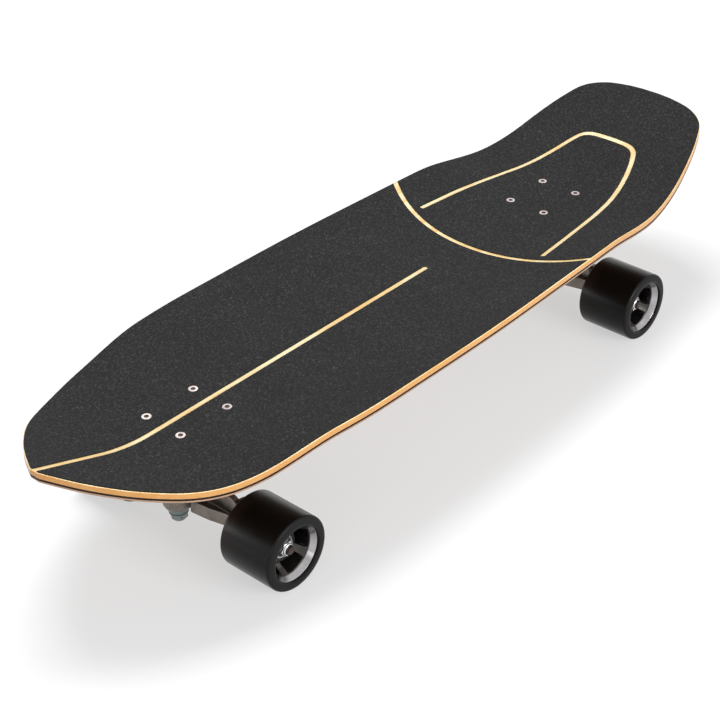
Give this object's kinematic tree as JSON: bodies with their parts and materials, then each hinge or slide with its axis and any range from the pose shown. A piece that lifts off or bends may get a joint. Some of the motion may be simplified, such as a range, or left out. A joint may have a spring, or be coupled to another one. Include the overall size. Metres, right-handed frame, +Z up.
{
  "type": "surf skateboard",
  "caption": "Surf skateboard: kicked concave maple deck with split grip sheets, a sprung swinging front truck, a fixed rear truck and wide cored wheels.",
  "frame": {"origin": "on the floor under the middle of the deck, wheels resting on Z = 0", "axes": "+X towards the nose, +Y to the left of a board rolling nose first, +Z up"},
  "size_m": [0.85, 0.2532, 0.1748],
  "materials": {
    "maple": "clear-lacquered maple, orange-amber",
    "dark_ply": "black-dyed veneer line",
    "pale_maple": "clear-lacquered pale maple",
    "grip": "fine black abrasive grit on film",
    "bolt": "bright plated countersunk bolts",
    "cast": "satin cast aluminium, warm grey",
    "steel": "bright steel",
    "zinc": "zinc-plated steel, bluish",
    "bushing": "cast urethane, dark grey",
    "tyre": "smoke-black urethane, slightly translucent",
    "core": "moulded core, dark metallic grey",
    "spring": "spring steel"
  },
  "bodies": {
    "board": {"deck_top_plies": "maple", "deck_dark_ply": "dark_ply", "deck_bottom_plies": "pale_maple", "grip_front": "grip", "grip_rear": "grip", "front_deck_bolt_1": "bolt", "front_deck_bolt_2": "bolt", "front_deck_bolt_3": "bolt", "front_deck_bolt_4": "bolt", "rear_deck_bolt_1": "bolt", "rear_deck_bolt_2": "bolt", "rear_deck_bolt_3": "bolt", "rear_deck_bolt_4": "bolt", "front_base": "cast", "arm_thrust_bearing": "steel", "centring_spring": "spring", "rear_baseplate": "cast", "rear_pivot_cup": "bushing", "rear_kingpin": "steel", "rear_kingpin_nut": "zinc", "rear_bushing_boardside": "bushing", "rear_bushing_roadside": "bushing", "rear_washer_boardside": "zinc", "rear_washer_roadside": "zinc"},
    "front_swing": {"swing_arm": "cast", "arm_pivot_bolt": "steel", "front_pivot_cup": "bushing", "front_kingpin": "steel", "front_kingpin_nut": "zinc", "front_bushing_boardside": "bushing", "front_bushing_roadside": "bushing", "front_washer_boardside": "zinc", "front_washer_roadside": "zinc"},
    "front_truck": {"front_hanger": "cast", "front_axle": "steel", "front_left_axle_nut": "steel", "front_right_axle_nut": "steel"},
    "rear_truck": {"rear_hanger": "cast", "rear_axle": "steel", "rear_left_axle_nut": "steel", "rear_right_axle_nut": "steel"},
    "front_left_wheel": {"front_left_tyre": "tyre", "front_left_core": "core", "front_left_bearing_outer": "steel", "front_left_bearing_inner": "steel"},
    "front_right_wheel": {"front_right_tyre": "tyre", "front_right_core": "core", "front_right_bearing_outer": "steel", "front_right_bearing_inner": "steel"},
    "rear_left_wheel": {"rear_left_tyre": "tyre", "rear_left_core": "core", "rear_left_bearing_outer": "steel", "rear_left_bearing_inner": "steel"},
    "rear_right_wheel": {"rear_right_tyre": "tyre", "rear_right_core": "core", "rear_right_bearing_outer": "steel", "rear_right_bearing_inner": "steel"}
  },
  "joints": [
    {"name": "front_swing_turn", "type": "hinge", "parent": "board", "child": "front_swing", "pos_m": [0.23, 0, 0.09559], "axis": [0.342, 0, 0.9397], "range_deg": [-25, 25], "stiffness_Nm_per_rad": 4, "deforming": ["centring_spring"]},
    {"name": "front_lean", "type": "hinge", "parent": "front_swing", "child": "front_truck", "pos_m": [0.239, 0, 0.05895], "axis": [-0.9399, 0, 0.3415], "range_deg": [-14, 14], "stiffness_Nm_per_rad": 25, "deforming": ["front_bushing_boardside", "front_bushing_roadside"]},
    {"name": "rear_lean", "type": "hinge", "parent": "board", "child": "rear_truck", "pos_m": [-0.2723, 0, 0.05895], "axis": [-0.9399, 0, 0.3415], "range_deg": [-14, 14], "stiffness_Nm_per_rad": 25, "deforming": ["rear_bushing_boardside", "rear_bushing_roadside"]},
    {"name": "front_left_spin", "type": "hinge", "parent": "front_truck", "child": "front_left_wheel", "pos_m": [0.263, 0.0943, 0.035], "axis": [0, 1, 0], "continuous": true},
    {"name": "front_right_spin", "type": "hinge", "parent": "front_truck", "child": "front_right_wheel", "pos_m": [0.263, -0.0943, 0.035], "axis": [0, 1, 0], "continuous": true},
    {"name": "rear_left_spin", "type": "hinge", "parent": "rear_truck", "child": "rear_left_wheel", "pos_m": [-0.2483, 0.0943, 0.035], "axis": [0, 1, 0], "continuous": true},
    {"name": "rear_right_spin", "type": "hinge", "parent": "rear_truck", "child": "rear_right_wheel", "pos_m": [-0.2483, -0.0943, 0.035], "axis": [0, 1, 0], "continuous": true}
  ]
}
